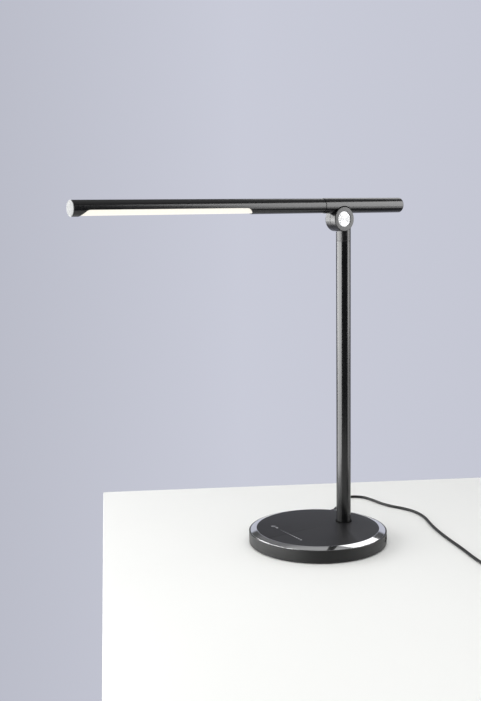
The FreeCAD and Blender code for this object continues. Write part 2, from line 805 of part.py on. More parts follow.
def end_cap():
    spigot = light_bore - slip
    inner = spigot - cap_wall
    face = light_tip - cap_thickness
    cap = turned([(0, face, 0), (cap_radius, face, cap_round), (cap_radius, light_tip, 0),
                  (spigot, light_tip, 0),
                  (spigot, light_tip + cap_spigot, 0), (inner, light_tip + cap_spigot, 0),
                  (inner, light_tip + cap_web, 0),
                  (0, light_tip + cap_web, 0)], arm_axis, ALONG)
    seat = arm_axis.z - light_radius + tip_screw_inset + tip_screw_head_height
    low = arm_axis.z - light_radius
    return cap.cut([rod(tip_screw_head + mould_room, low, seat, tip_screw_place(), UP),
                    rod(tip_screw_radius + slip, low, arm_axis.z, tip_screw_place(), UP)])


def tip_screw():
    low = arm_axis.z - light_radius + tip_screw_inset
    head_top = low + tip_screw_head_height
    head = rod(tip_screw_head, low, head_top, tip_screw_place(), UP)
    return fused([head,
                  rod(tip_screw_radius, head_top, head_top + tip_screw_length, tip_screw_place(), UP)])


# Lead with its plug, coil and adapter

def dc_plug_barrel():
    axis = FreeCAD.Vector(0, 0, dc_level)
    barrel = ring(plug_barrel_radius, dc_pin_radius + pin_room, dc_front - plug_reach,
                  grip_start + plug_hold, axis, ACROSS)
    return at_angle(barrel, dc_angle)


def dc_plug_grip():
    axis = FreeCAD.Vector(0, 0, dc_level)
    tail = cord_radius + relief_lip
    shoulder = dc_front + mould_room
    grip = turned([(0, shoulder, 0), (plug_shoulder_radius, shoulder, 0),
                   (plug_shoulder_radius, grip_start, 0),
                   (grip_radius, grip_start, grip_round), (grip_radius, grip_end, grip_round),
                   (tail, relief_end, 0),
                   (0, relief_end, 0)], axis, ACROSS)
    cuts = [rod(plug_barrel_radius + slip, shoulder, grip_start + plug_hold + slip, axis, ACROSS)]
    pitch = grip_length / (2 * grip_groove_count + 1)
    for k in range(grip_groove_count):
        low = grip_start + pitch * (2 * k + 1)
        cuts.append(ring(grip_radius + slip, grip_radius - grip_groove, low, low + pitch, axis, ACROSS))
    return at_angle(grip.cut(cuts), dc_angle)


def cord_points():
    reaches = (relief_end, relief_end + lead_out)
    leaving = [at_angle(Part.Vertex(reach, 0, dc_level), dc_angle).Point for reach in reaches]
    entry = FreeCAD.Vector(coil_start[0], coil_start[1], coil_low)
    lying = [FreeCAD.Vector(x, y, cord_radius + lift) for x, y, lift in cord_route]
    return leaving + lying + [entry - ACROSS * lead_in, entry]


def tube_along(edges):
    path = Part.Wire(edges)
    first = edges[0]
    start = first.valueAt(first.FirstParameter)
    section = Part.Wire(Part.makeCircle(cord_radius, start, first.tangentAt(first.FirstParameter)))
    return path.makePipeShell([section], True, False), path.Length


def power_cord():
    """Straight runs joined by the largest arcs that the runs allow."""
    points = cord_points()
    edges, radii, start = [], [], points[0]
    for before, corner, after in zip(points, points[1:], points[2:]):
        back, ahead = before - corner, after - corner
        reach = 0.45 * min(back.Length, ahead.Length)
        half = back.getAngle(ahead) / 2
        radius = reach * math.tan(half)
        back.normalize()
        ahead.normalize()
        apex = corner + (back + ahead).normalize() * (radius / math.sin(half) - radius)
        edges.append(Part.LineSegment(start, corner + back * reach).toShape())
        edges.append(Part.Arc(corner + back * reach, apex, corner + ahead * reach).toShape())
        start = corner + ahead * reach
        radii.append(radius)
    edges.append(Part.LineSegment(start, points[-1]).toShape())
    tube, length = tube_along(edges)
    print("cord bend radii", [round(r, 1) for r in radii])
    print("cord length", round(length, 1), "volume over section times length",
          round(tube.Volume / (math.pi * cord_radius ** 2 * length), 4))
    return tube


def coil_centre():
    return FreeCAD.Vector(coil_start[0] + cord_diameter, coil_start[1] + coil_radius, 0)


def coil_line(turn):
    """Middle of the wound cord: in on the table, up in half a turn and out on top."""
    inward = turn if turn < coil_middle else 2 * coil_middle - turn
    radius = coil_radius - coil_pitch * inward
    climb = min(max((turn - coil_turns_in) / 0.5, 0), 1)
    angle = math.radians(360 * turn - 90)
    height = coil_low + coil_pitch * climb * climb * (3 - 2 * climb)
    return coil_centre() + FreeCAD.Vector(radius * math.cos(angle), radius * math.sin(angle), height)


def coil_heading(turn):
    step = 1e-4
    return (coil_line(turn + step) - coil_line(turn - step)).normalize()


def tangent_arc(start, heading, end):
    """The arc that leaves start along heading and reaches end."""
    chord = end - start
    lean = heading.getAngle(chord)
    corner = start + heading * (chord.Length / 2 / math.cos(lean))
    middle = start + chord * 0.5
    apex = middle + (corner - middle) * (math.tan(lean / 2) / math.tan(lean))
    return Part.Arc(start, apex, end).toShape()


def biarc(start, leave, end, arrive):
    """Two arcs that join start to end with the given headings."""
    chord, both = end - start, leave + arrive
    a, b, c = 2 * (1 - leave.dot(arrive)), 2 * chord.dot(both), chord.dot(chord)
    reach = 2 * c / (b + math.sqrt(b * b + 4 * a * c))
    joint = (start + leave * reach + end - arrive * reach) * 0.5
    return [tangent_arc(start, leave, joint), tangent_arc(end, arrive * -1, joint)]


def coil_total():
    return coil_turns_in + 0.5 + coil_turns_out


def coil_end():
    last = coil_total()
    return coil_line(last) + coil_heading(last) * cord_diameter, coil_heading(last)


def cord_coil():
    quarters = math.ceil(4 * coil_total())
    knots = [coil_total() * k / quarters for k in range(quarters + 1)]
    bend = cord_points()[-1] + ACROSS * cord_diameter
    edges = [Part.LineSegment(cord_points()[-1], bend).toShape()]
    edges += biarc(bend, ACROSS, coil_line(knots[1]), coil_heading(knots[1]))
    for near, far in zip(knots[1:], knots[2:]):
        edges += biarc(coil_line(near), coil_heading(near), coil_line(far), coil_heading(far))
    edges.append(Part.LineSegment(coil_line(knots[-1]), coil_end()[0]).toShape())
    coil, length = tube_along(edges)
    samples = [coil_line(coil_total() * k / 1500) for k in range(1501)]
    apart = 1500 // quarters
    pairs = [(i, j) for i in range(0, 1501, 3) for j in range(i + 2 * apart, 1501)]
    gap = min((samples[i] - samples[j]).Length for i, j in pairs) - cord_diameter
    print("coil length", round(length, 1), "volume over section times length",
          round(coil.Volume / (math.pi * cord_radius ** 2 * length), 4), "least gap to itself",
          round(gap, 2))
    return coil


def coil_tie():
    half = tie_width / 2
    hole = coil_radius - coil_pitch * coil_middle - cord_radius
    inner = math.sqrt(hole ** 2 - half ** 2) - tie_room
    outermost = coil_radius - coil_pitch * min(tie_turn, (2 * coil_middle - tie_turn) % 1)
    outer = outermost + cord_radius + tie_room
    top = coil_low + coil_pitch + cord_radius + tie_room
    band = block((inner - tie_thickness, -half, 0), (outer + tie_thickness, half, top + tie_thickness))
    band = band.cut(block((inner, -half, tie_thickness), (outer, half, top)))
    return band.rotated(ORIGIN, UP, 360 * tie_turn - 90).translated(coil_centre())


def beside_coil(shape):
    """Places a piece made along +X from the origin at the end of the coil."""
    end, heading = coil_end()
    turn = math.degrees(math.atan2(heading.y, heading.x))
    return shape.rotated(ORIGIN, UP, turn).translated(FreeCAD.Vector(end.x, end.y, 0))


def adapter_relief():
    axis = FreeCAD.Vector(0, 0, coil_end()[0].z)
    tail = cord_radius + relief_lip
    relief = turned([(0, 0, 0), (tail, 0, 0), (adapter_relief_radius, adapter_relief_length, 0),
                     (0, adapter_relief_length, 0)], axis, ACROSS)
    step = adapter_relief_length / (relief_groove_count + 1)
    half = relief_groove_width / 2
    grooves = []
    for k in range(1, relief_groove_count + 1):
        floor = tail + (adapter_relief_radius - tail) * k / (relief_groove_count + 1) - relief_groove_depth
        grooves.append(ring(2 * adapter_relief_radius, floor, k * step - half, k * step + half, axis,
                            ACROSS))
    return beside_coil(relief.cut(grooves))


def pin_places():
    return [FreeCAD.Vector(0, side * pin_spacing / 2, adapter_height / 2) for side in (-1, 1)]


def adapter_body():
    half = adapter_width / 2
    start, end = adapter_relief_length, adapter_relief_length + adapter_length
    body = block((start, -half, 0), (end, half, adapter_height))
    body = body.makeFillet(adapter_round, body.Edges)
    seam = end - adapter_seam_inset
    skin = adapter_seam_depth
    inside = block((start, skin - half, skin), (end, half - skin, adapter_height - skin))
    inside = inside.makeFillet(adapter_round - skin,
                               [e for e in inside.Edges if abs(e.tangentAt(0).x) > 0.9])
    groove = block((seam, -adapter_width, -adapter_height),
                   (seam + adapter_seam_width, adapter_width, 2 * adapter_height)).cut(inside)
    sockets = [rod(pin_radius + slip, end - pin_root, end, place, ACROSS) for place in pin_places()]
    return beside_coil(body.cut([groove] + sockets))


def adapter_pins():
    end = adapter_relief_length + adapter_length
    low, high = end - pin_root, end + pin_length
    pins = [turned([(0, low, 0), (pin_radius, low, 0), (pin_radius, high, pin_radius / 2),
                    (0, high, 0)], place, ACROSS)
            for place in pin_places()]
    return beside_coil(Part.makeCompound(pins))


PIECES = {
    "anti_slip_pad": anti_slip_pad, "bottom_cover": bottom_cover, "bottom_screws": bottom_screws,
    "counterweight": counterweight, "base_shell": base_shell, "chrome_ring": chrome_ring,
    "touch_panel": touch_panel,
    "power_board": power_board, "touch_board": touch_board, "usb_bezel": usb_bezel,
    "usb_socket": usb_socket,
    "dc_socket": dc_socket, "pole_tube": pole_tube, "pole_insert": pole_insert, "pole_nipple": pole_nipple,
    "pole_washer": pole_washer, "pole_nut": pole_nut, "foot_ring": foot_ring, "pole_lead": pole_lead,
    "swivel_spindle": swivel_spindle, "swivel_washer": swivel_washer_ring, "swivel_collar": swivel_collar,
    "swivel_set_screw": swivel_set_screw, "hinge_bolt": hinge_bolt, "friction_washer": friction_washer_ring,
    "spring_washers": spring_washers, "hinge_nut": hinge_nut, "hinge_disc": hinge_disc,
    "arm_knuckle": arm_knuckle,
    "rear_hinge_cap": rear_hinge_cap, "arm_sleeve": arm_sleeve, "roll_spindle": roll_spindle,
    "roll_clip": roll_clip,
    "arm_lead": arm_lead, "roll_washer": roll_washer_ring, "light_tube": light_tube, "light_hub": light_hub,
    "diffuser": diffuser, "led_carrier": led_carrier, "led_board": led_board, "led_chips": led_chips,
    "light_lead": light_lead, "end_cap": end_cap, "tip_screw": tip_screw, "dc_plug_barrel": dc_plug_barrel,
    "dc_plug_grip": dc_plug_grip, "power_cord": power_cord, "cord_coil": cord_coil, "coil_tie": coil_tie,
    "adapter_relief": adapter_relief, "adapter_body": adapter_body, "adapter_pins": adapter_pins,
}

os.makedirs("parts", exist_ok=True)
for name, make in PIECES.items():
    shape = make()
    if not shape.isValid():
        raise ValueError(f"{name} is not a valid solid")
    shape.exportStep(f"parts/{name}.step")
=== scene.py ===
import math

import bmesh
import bpy
from bpy.props import FloatProperty, FloatVectorProperty, IntProperty, PointerProperty
from mathutils import Matrix, Vector


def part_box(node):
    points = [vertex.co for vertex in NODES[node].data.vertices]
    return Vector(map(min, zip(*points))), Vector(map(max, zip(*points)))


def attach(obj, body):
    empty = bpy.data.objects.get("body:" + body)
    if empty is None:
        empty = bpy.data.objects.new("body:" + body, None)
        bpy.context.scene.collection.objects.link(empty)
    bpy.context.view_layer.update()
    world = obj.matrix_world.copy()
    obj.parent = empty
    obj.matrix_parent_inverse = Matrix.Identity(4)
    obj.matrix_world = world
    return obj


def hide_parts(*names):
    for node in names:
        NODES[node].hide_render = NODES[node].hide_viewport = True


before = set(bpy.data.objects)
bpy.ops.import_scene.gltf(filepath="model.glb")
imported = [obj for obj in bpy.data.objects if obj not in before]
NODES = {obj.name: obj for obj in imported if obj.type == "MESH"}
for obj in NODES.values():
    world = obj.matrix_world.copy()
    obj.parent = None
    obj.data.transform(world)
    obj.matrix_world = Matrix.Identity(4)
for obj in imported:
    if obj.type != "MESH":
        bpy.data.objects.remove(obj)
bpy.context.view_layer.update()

bl_info = {
    "name": "LED Table Lamp Dresser",
    "version": (1, 0, 0),
    "blender": (4, 5, 0),
    "location": "View3D > Sidebar > Table Lamp",
    "description": "Dresses the packed table lamp with its finishes, lead, legend and studio",
    "category": "Object",
}

MM = 0.001
MERGE_GAP = 0.0005 * MM


def middle_of(node):
    low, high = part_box(node)
    return (low + high) / 2


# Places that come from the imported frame
PANEL_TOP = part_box("touch_panel")[1].z
HINGE_AXIS = middle_of("hinge_disc")
PLUG_AXIS = middle_of("dc_socket")


def length(label, words, value):
    return FloatProperty(name=label, description=words, default=value, unit="LENGTH")


class LampSizes(bpy.types.PropertyGroup):
    """Sizes of the dressed pieces, in metres."""

    lead_diameter: length("Lead Diameter", "Outside of the power lead's jacket", 3.8 * MM)
    lead_length: length("Lead Length", "Real length of the lead from plug to adapter", 1.5)
    coil_radius: length("Coil Radius", "Outermost turn of the put-away coil", 30.3 * MM)
    coil_pitch: length("Coil Pitch", "From turn to turn and from layer to layer", 4.3 * MM)
    coil_turns_in: FloatProperty(
        name="Turns In", description="Turns of the lower layer", default=3.5)
    coil_turns_out: FloatProperty(
        name="Turns Out", description="Turns of the upper layer", default=3.42)
    coil_points: IntProperty(
        name="Points per Turn", description="Control points in each turn", default=16)
    strap_thickness: length("Strap Thickness", "Thickness of the coil's strap", 0.9 * MM)
    groove_pitch: length("Groove Pitch", "Distance between the turning marks", 0.4 * MM)
    groove_depth: length("Groove Depth", "Depth of the turning marks", 0.045 * MM)
    mark_height: length("Mark Height", "Thickness of the printed touch marks", 0.04 * MM)
    mark_line: length("Mark Line", "Line width of the power mark", 0.55 * MM)


def colour(label, words, value):
    return FloatVectorProperty(
        name=label, description=words, subtype="COLOR", size=3, min=0, max=1, default=value)


class LampColours(bpy.types.PropertyGroup):
    """Colours of the finishes and the stage, in linear light."""

    paint: colour(
        "Paint", "Satin black paint of the pole, the arm and the light", (0.005, 0.0052, 0.0056))
    moulding: colour("Moulding", "Black moulded plastic of the base", (0.006, 0.0061, 0.0062))
    panel: colour("Panel", "Charcoal touch panel", (0.0098, 0.0096, 0.0108))
    chrome: colour("Chrome", "Bright ring round the panel", (0.78, 0.785, 0.795))
    aluminium: colour("Aluminium", "Turned hinge disc", (0.37, 0.373, 0.375))
    cap: colour("Cap", "Silver lacquer of the end cap", (0.5, 0.508, 0.506))
    glow: colour("Glow", "Light of the opal lens", (1.0, 0.96, 0.86))
    jacket: colour("Jacket", "Jacket of the power lead", (0.009, 0.0093, 0.0093))
    legend: colour("Legend", "Printed touch marks", (0.62, 0.63, 0.66))
    floor: colour("Floor", "Pale table top under the lamp", (0.885, 0.89, 0.868))
    backdrop: colour("Backdrop", "Pale wall behind the lamp", (0.585, 0.6, 0.69))


def sizes():
    return bpy.context.scene.lamp_sizes


def colours():
    return bpy.context.scene.lamp_colours


# Finishes

class Signal:
    """An output socket that can be used in Python expressions."""

    def __init__(self, finish, socket):
        self.finish = finish
        self.socket = socket

    def math(self, operation, *others):
        return self.finish.math(operation, self, *others)

    def __add__(self, other):
        return self.math("ADD", other)

    __radd__ = __add__

    def __sub__(self, other):
        return self.math("SUBTRACT", other)

    def __rsub__(self, other):
        return self.finish.math("SUBTRACT", other, self)

    def __mul__(self, other):
        return self.math("MULTIPLY", other)

    __rmul__ = __mul__

    def __truediv__(self, other):
        return self.math("DIVIDE", other)

    def __rtruediv__(self, other):
        return self.finish.math("DIVIDE", other, self)

    def __gt__(self, other):
        return self.math("GREATER_THAN", other)

    def __lt__(self, other):
        return self.math("LESS_THAN", other)


class Finish:
    """A material or world whose node tree is being written."""

    def __init__(self, owner, output):
        owner.use_nodes = True
        self.owner = owner
        self.tree = owner.node_tree
        self.tree.nodes.clear()
        self.output = self.tree.nodes.new(output)

    def node(self, kind, settings=None, inputs=None, output=0):
        """Adds a node, sets its settings, then its sockets' values or links; gives an output."""
        made = self.tree.nodes.new(kind)
        for key, value in (settings or {}).items():
            if key == "stops":
                self.stops(made.color_ramp, value)
            else:
                setattr(made, key, value)
        for key, value in (inputs or {}).items():
            self.feed(made.inputs[key], value)
        return Signal(self, made.outputs[output])

    def stops(self, ramp, values):
        while len(ramp.elements) < len(values):
            ramp.elements.new(1)
        for element, (place, tone) in zip(ramp.elements, values):
            element.position = place
            element.color = (*tone, 1)

    def feed(self, socket, value):
        if isinstance(value, Signal):
            self.tree.links.new(value.socket, socket)
        elif hasattr(value, "__len__") and socket.type == "RGBA" and len(value) == 3:
            socket.default_value = (*value, 1)
        else:
            socket.default_value = value

    def math(self, operation, *values):
        return self.node("ShaderNodeMath", {"operation": operation}, dict(enumerate(values)))

    def place(self, scale=(1, 1, 1)):
        """Object coordinates, stretched."""
        where = self.node("ShaderNodeTexCoord", output="Object")
        return self.node(
            "ShaderNodeMapping", {"vector_type": "POINT"}, {"Vector": where, "Scale": scale})

    def noise(self, where, scale, detail=3.0, roughness=0.55):
        return self.node(
            "ShaderNodeTexNoise", None,
            {"Vector": where, "Scale": scale, "Detail": detail, "Roughness": roughness})

    def cells(self, scale, **settings):
        return self.node(
            "ShaderNodeTexVoronoi", settings, {"Vector": self.place(), "Scale": scale},
            output="Distance")

    def coordinate(self, axis):
        return self.node("ShaderNodeSeparateXYZ", None, {0: self.place()}, output=axis)

    def ramp(self, value, *stops):
        return self.node("ShaderNodeValToRGB", {"stops": stops}, {"Fac": value})

    def mix(self, share, first, second):
        """Colour between first and second."""
        return self.node(
            "ShaderNodeMix", {"data_type": "RGBA"}, {0: share, 6: first, 7: second}, output=2)

    def bump(self, height, strength, distance):
        return self.node(
            "ShaderNodeBump", None,
            {"Height": height, "Strength": strength, "Distance": distance})

    def surface(self, **inputs):
        """A Principled shader into the output; underscores in the names stand for spaces."""
        named = {key.replace("_", " "): value for key, value in inputs.items()}
        shader = self.node("ShaderNodeBsdfPrincipled", None, named)
        self.tree.links.new(shader.socket, self.output.inputs["Surface"])
        return self.owner


def finish(name):
    return Finish(bpy.data.materials.new(name), "ShaderNodeOutputMaterial")


def shade(tone, factor):
    return tuple(min(1.0, c * factor) for c in tone)


def satin_paint():
    """Sprayed satin black: a faint orange peel and slow drifts of gloss."""
    f = finish("satin_black_paint")
    where = f.place()
    drift = f.noise(where, 14.0, 2.0)
    peel = f.noise(where, 900.0, 2.0)
    tone = colours().paint
    return f.surface(
        Base_Color=f.mix(drift, shade(tone, 0.8), shade(tone, 1.25)),
        Roughness=0.15 + drift * 0.07 + peel * 0.03,
        IOR=1.5,
        Normal=f.bump(peel, 0.025, 0.05 * MM))


def cast_paint():
    """Black paint on the hinge castings, a little rougher than on the tubes."""
    f = finish("cast_black_paint")
    where = f.place()
    drift = f.noise(where, 40.0, 2.0)
    grain = f.noise(where, 1600.0, 3.0)
    tone = shade(colours().paint, 1.3)
    return f.surface(
        Base_Color=f.mix(drift, shade(tone, 0.85), shade(tone, 1.2)),
        Roughness=0.24 + drift * 0.08 + grain * 0.05,
        IOR=1.5,
        Normal=f.bump(grain, 0.04, 0.05 * MM))


def black_moulding(name, tone, rough, texture):
    """Moulded plastic with a fine spark-eroded texture."""
    f = finish(name)
    where = f.place()
    drift = f.noise(where, 22.0, 2.0)
    grain = f.noise(where, 2400.0, 2.0)
    return f.surface(
        Base_Color=f.mix(drift, shade(tone, 0.86), shade(tone, 1.16)),
        Roughness=rough + drift * 0.06 + grain * 0.06,
        IOR=1.42,
        Sheen_Weight=0.16,
        Sheen_Roughness=0.35,
        Normal=f.bump(grain, texture, 0.04 * MM))


def charcoal_panel():
    """Touch panel with a fine matt grain and a few lighter specks."""
    f = finish("charcoal_panel")
    where = f.place()
    drift = f.noise(where, 16.0, 2.0)
    grain = f.noise(where, 3200.0, 2.0)
    speck = f.noise(where, 700.0, 1.0)
    tone = colours().panel
    ground = f.mix(grain, shade(tone, 0.8), shade(tone, 1.2))
    return f.surface(
        Base_Color=f.mix((speck > 0.74) * 0.5, ground, shade(tone, 3.0)),
        Roughness=0.38 + drift * 0.06 + grain * 0.08,
        IOR=1.35,
        Normal=f.bump(grain, 0.1, 0.04 * MM))


def mirror_chrome():
    """Plated ring: a mirror with slight wiping haze."""
    f = finish("mirror_chrome")
    haze = f.noise(f.place(), 30.0, 3.0)
    wipe = f.noise(f.place(scale=(1, 1, 9)), 120.0, 2.0)
    tone = colours().chrome
    return f.surface(
        Base_Color=f.mix(haze, shade(tone, 0.96), tone),
        Metallic=1.0,
        Roughness=0.035 + haze * 0.03 + wipe * 0.02)


def turned_aluminium():
    """Bright turned aluminium with a slight grain in its sheen."""
    f = finish("hinge_aluminium")
    where = f.place()
    cloud = f.noise(where, 260.0, 2.0)
    grain = f.noise(where, 4200.0, 2.0)
    tone = colours().aluminium
    return f.surface(
        Base_Color=f.mix(cloud, shade(tone, 0.95), tone),
        Metallic=1.0,
        Roughness=0.34 + cloud * 0.06 + grain * 0.04)


def silver_lacquer():
    """Matt silver lacquer of the end cap."""
    f = finish("silver_lacquer")
    cloud = f.noise(f.place(), 140.0, 2.0)
    tone = colours().cap
    return f.surface(
        Base_Color=f.mix(cloud, shade(tone, 0.985), shade(tone, 1.015)),
        Roughness=0.68 + cloud * 0.06,
        IOR=1.3)


CHIP_COUNT = 30


def opal_lens():
    """Lit opal plastic, a little dimmer towards its ends and between the chips."""
    f = finish("opal_lens")
    low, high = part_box("diffuser")
    first, last = (corner.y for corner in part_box("led_chips"))
    along = f.coordinate("Y")
    reach = ((along - (low.y + high.y) / 2) / ((high.y - low.y) / 2)).math("ABSOLUTE")
    fall = 1 - reach.math("POWER", 24.0) * 0.25
    wave = ((along - first) * (math.tau * CHIP_COUNT / (last - first))).math("SINE")
    spots = wave * 0.02 + 0.98
    tone = colours().glow
    return f.surface(
        Base_Color=(0.1, 0.1, 0.098),
        Roughness=0.45,
        IOR=1.49,
        Emission_Color=f.mix(fall * spots, shade(tone, 0.5), tone),
        Emission_Strength=0.95)


def jacket_rubber():
    """Lead jacket: soft PVC with a dry bloom."""
    f = finish("jacket_rubber")
    where = f.place()
    bloom = f.noise(where, 60.0, 3.0)
    grain = f.noise(where, 1500.0, 2.0)
    tone = colours().jacket
    return f.surface(
        Base_Color=f.mix(bloom, shade(tone, 0.8), shade(tone, 1.4)),
        Roughness=0.4 + bloom * 0.12 + grain * 0.04,
        IOR=1.34,
        Normal=f.bump(grain, 0.12, 0.05 * MM))


def gasket_rubber():
    """Dull soft rubber of the ring under the pole."""
    f = finish("gasket_rubber")
    bloom = f.noise(f.place(), 300.0, 2.0)
    tone = colours().jacket
    return f.surface(
        Base_Color=f.mix(bloom, shade(tone, 0.3), shade(tone, 0.6)),
        Roughness=0.66 + bloom * 0.1,
        IOR=1.16)


def foam_pad():
    """Closed-cell foam of the anti-slip pad."""
    f = finish("foam_pad")
    cells = f.cells(1100.0)
    return f.surface(
        Base_Color=f.mix(cells, (0.02, 0.02, 0.021), (0.045, 0.045, 0.047)),
        Roughness=0.75 + cells * 0.2,
        Normal=f.bump(cells, 0.4, 0.15 * MM))


def hook_strap():
    """Woven hook-and-loop strap round the coil."""
    f = finish("hook_strap")
    weave = f.node(
        "ShaderNodeTexWave", {"bands_direction": "Z"},
        {"Vector": f.place(), "Scale": 420.0, "Distortion": 1.0})
    fluff = f.noise(f.place(), 1800.0, 4.0)
    return f.surface(
        Base_Color=f.mix(
            weave * 0.5 + fluff * 0.5, (0.012, 0.012, 0.013), (0.04, 0.04, 0.042)),
        Roughness=0.7 + fluff * 0.25,
        Normal=f.bump(weave + fluff, 0.5, 0.1 * MM))


def plated_steel():
    """Nickel plate over turned steel."""
    f = finish("plated_steel")
    lines = f.noise(f.place(scale=(1, 1, 14)), 900.0, 2.0)
    cloud = f.noise(f.place(), 120.0, 2.0)
    return f.surface(
        Base_Color=f.mix(cloud, (0.5, 0.495, 0.48), (0.66, 0.655, 0.64)),
        Metallic=1.0,
        Roughness=0.22 + lines * 0.12 + cloud * 0.06,
        Normal=f.bump(lines, 0.08, 0.03 * MM))


def grey_iron():
    """Rough cast counterweight with a thin black wash and a little rust."""
    f = finish("grey_iron")
    where = f.place()
    sand = f.noise(where, 500.0, 4.0, 0.65)
    rust = f.noise(where, 45.0, 4.0)
    ground = f.mix(sand, (0.04, 0.04, 0.042), (0.11, 0.11, 0.112))
    return f.surface(
        Base_Color=f.mix((rust > 0.62) * 0.4, ground, (0.12, 0.06, 0.035)),
        Metallic=0.6,
        Roughness=0.55 + sand * 0.3,
        Normal=f.bump(sand, 0.6, 0.3 * MM))


def circuit_board(name, mask_tone):
    """Solder mask over copper runs, with bare pads."""
    f = finish(name)
    pad = f.cells(260.0, distance="MANHATTAN", feature="F1") < 0.13
    runs = f.cells(170.0, distance="CHEBYCHEV", feature="F2")
    run = (runs > 0.55) * (runs < 0.62)
    ground = f.mix(run, mask_tone, shade(mask_tone, 1.7))
    return f.surface(
        Base_Color=f.mix(pad, ground, (0.62, 0.6, 0.55)),
        Metallic=pad * 0.9,
        Roughness=0.42 - pad * 0.12,
        Normal=f.bump(run + pad, 0.25, 0.04 * MM))


def bare_aluminium():
    """Extruded aluminium with draw lines along the arm."""
    f = finish("bare_aluminium")
    lines = f.noise(f.place(scale=(30, 0.6, 30)), 60.0, 3.0)
    return f.surface(
        Base_Color=f.mix(lines, (0.56, 0.565, 0.57), (0.72, 0.725, 0.73)),
        Metallic=1.0,
        Roughness=0.3 + lines * 0.15,
        Normal=f.bump(lines, 0.1, 0.03 * MM))


def washer_nylon():
    """Black nylon washers, which show as thin dark seams."""
    f = finish("washer_nylon")
    cloud = f.noise(f.place(), 300.0, 2.0)
    return f.surface(
        Base_Color=f.mix(cloud, (0.012, 0.012, 0.012), (0.022, 0.022, 0.022)),
        Roughness=0.45 + cloud * 0.15)


def chip_phosphor():
    """LED packages: a yellow phosphor window in a white frame."""
    f = finish("chip_phosphor")
    low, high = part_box("led_chips")
    window = f.coordinate("X").math("ABSOLUTE") < (high.x - low.x) * 0.36
    grain = f.noise(f.place(), 2600.0, 2.0)
    return f.surface(
        Base_Color=f.mix(window, (0.85, 0.85, 0.83), (0.86, 0.62, 0.12)),
        Roughness=0.35 + grain * 0.15,
        Emission_Color=f.mix(window, (0.0, 0.0, 0.0), (1.0, 0.9, 0.7)),
        Emission_Strength=1.0)


def printed_mark():
    """Pale ink of the touch marks."""
    f = finish("printed_mark")
    ink = f.noise(f.place(), 2200.0, 2.0)
    tone = colours().legend
    return f.surface(
        Base_Color=f.mix(ink, shade(tone, 0.85), shade(tone, 1.1)), Roughness=0.45 + ink * 0.15)


def gilt_contact():
    """Gold flash on the port's contacts."""
    f = finish("gilt_contact")
    wear = f.noise(f.place(), 900.0, 2.0)
    return f.surface(
        Base_Color=f.mix(wear, (0.78, 0.56, 0.22), (0.9, 0.7, 0.34)),
        Metallic=1.0,
        Roughness=0.25 + wear * 0.1)


# Helpers for new pieces

CAD_EDGE_ANGLE = math.radians(28)


def linked(name, data, material):
    """Links a mesh or curve as an object of the scene and gives it its material."""
    piece = bpy.data.objects.new(name, data)
    bpy.context.scene.collection.objects.link(piece)
    data.materials.append(material)
    return piece


def solid(name, bm, material):
    """Turns a finished bmesh into an object."""
    mesh = bpy.data.meshes.new(name)
    bm.to_mesh(mesh)
    bm.free()
    return linked(name, mesh, material)


def new_piece(name, bm, material, body):
    """A solid that rides on a body."""
    piece = solid(name, bm, material)
    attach(piece, body)
    return piece


def verts_of(made):
    """The vertices among what a bmesh operator made."""
    return [item for item in made["geom"] if isinstance(item, bmesh.types.BMVert)]


def smooth(bm, angle=35):
    """Smooth faces with sharp edges kept where the surface turns."""
    for face in bm.faces:
        face.smooth = True
    for edge in bm.edges:
        edge.smooth = edge.is_boundary or edge.calc_face_angle(0) < math.radians(angle)


def coat(material, *nodes):
    """Puts one material on CAD nodes and gives them smooth shading that keeps their edges."""
    for node in nodes:
        piece = NODES[node]
        piece.data.materials.clear()
        piece.data.materials.append(material)
        for polygon in piece.data.polygons:
            polygon.use_smooth = True
        if not any(m.type == "WELD" for m in piece.modifiers):
            weld = piece.modifiers.new("weld", "WELD")
            weld.merge_threshold = MERGE_GAP
            split = piece.modifiers.new("edges", "EDGE_SPLIT")
            split.split_angle = CAD_EDGE_ANGLE


# The lead: its route on the table in millimetres, as in the part's source, and its coil

LEAD_ROUTE = (
    (-88.5, 106.0, 6.4), (-100.0, 119.0, 3.0), (-113.5, 131.0, 2.0), (-125.0, 140.5, 2.0),
    (-132.5, 151.0, 2.0), (-133.4, 163.5, 2.0), (-127.7, 174.6, 2.0), (-117.0, 181.1, 2.0),
    (-99.0, 181.5, 2.0), (-79.0, 179.3, 2.0), (-58.0, 181.5, 2.0), (-37.0, 189.0, 2.0),
    (-14.0, 190.3, 2.0), (12.0, 182.0, 2.0), (38.0, 166.5, 2.0), (70.0, 151.0, 2.0),
    (104.0, 137.5, 2.0), (138.0, 125.2, 2.0), (170.0, 111.7, 2.0), (196.0, 103.0, 2.0),
    (214.0, 100.0, 3.2), (228.0, 100.0, 3.2),
)
LEAD_OUT = 11.3 * MM
COIL_START = Vector(LEAD_ROUTE[-1]) * MM
CLIMB_TURNS = 0.5
HEADING_TURNS = 0.001
STRAP_TURN = 0.8
STRAP_ROUND = 2.2 * MM


def lead_exit():
    """Where the lead leaves its plug, and the way that it points there."""
    low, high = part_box("dc_plug_grip")
    outward = Vector((PLUG_AXIS.x, PLUG_AXIS.y, 0)).normalized()
    reach = max(
        v.co.x * outward.x + v.co.y * outward.y for v in NODES["dc_plug_grip"].data.vertices)
    return outward * reach + Vector((0, 0, (low.z + high.z) / 2)), outward


def coil_centre():
    return COIL_START + Vector((sizes().lead_diameter, sizes().coil_radius, 0))


def coil_angle(turn):
    return math.tau * turn - math.pi / 2


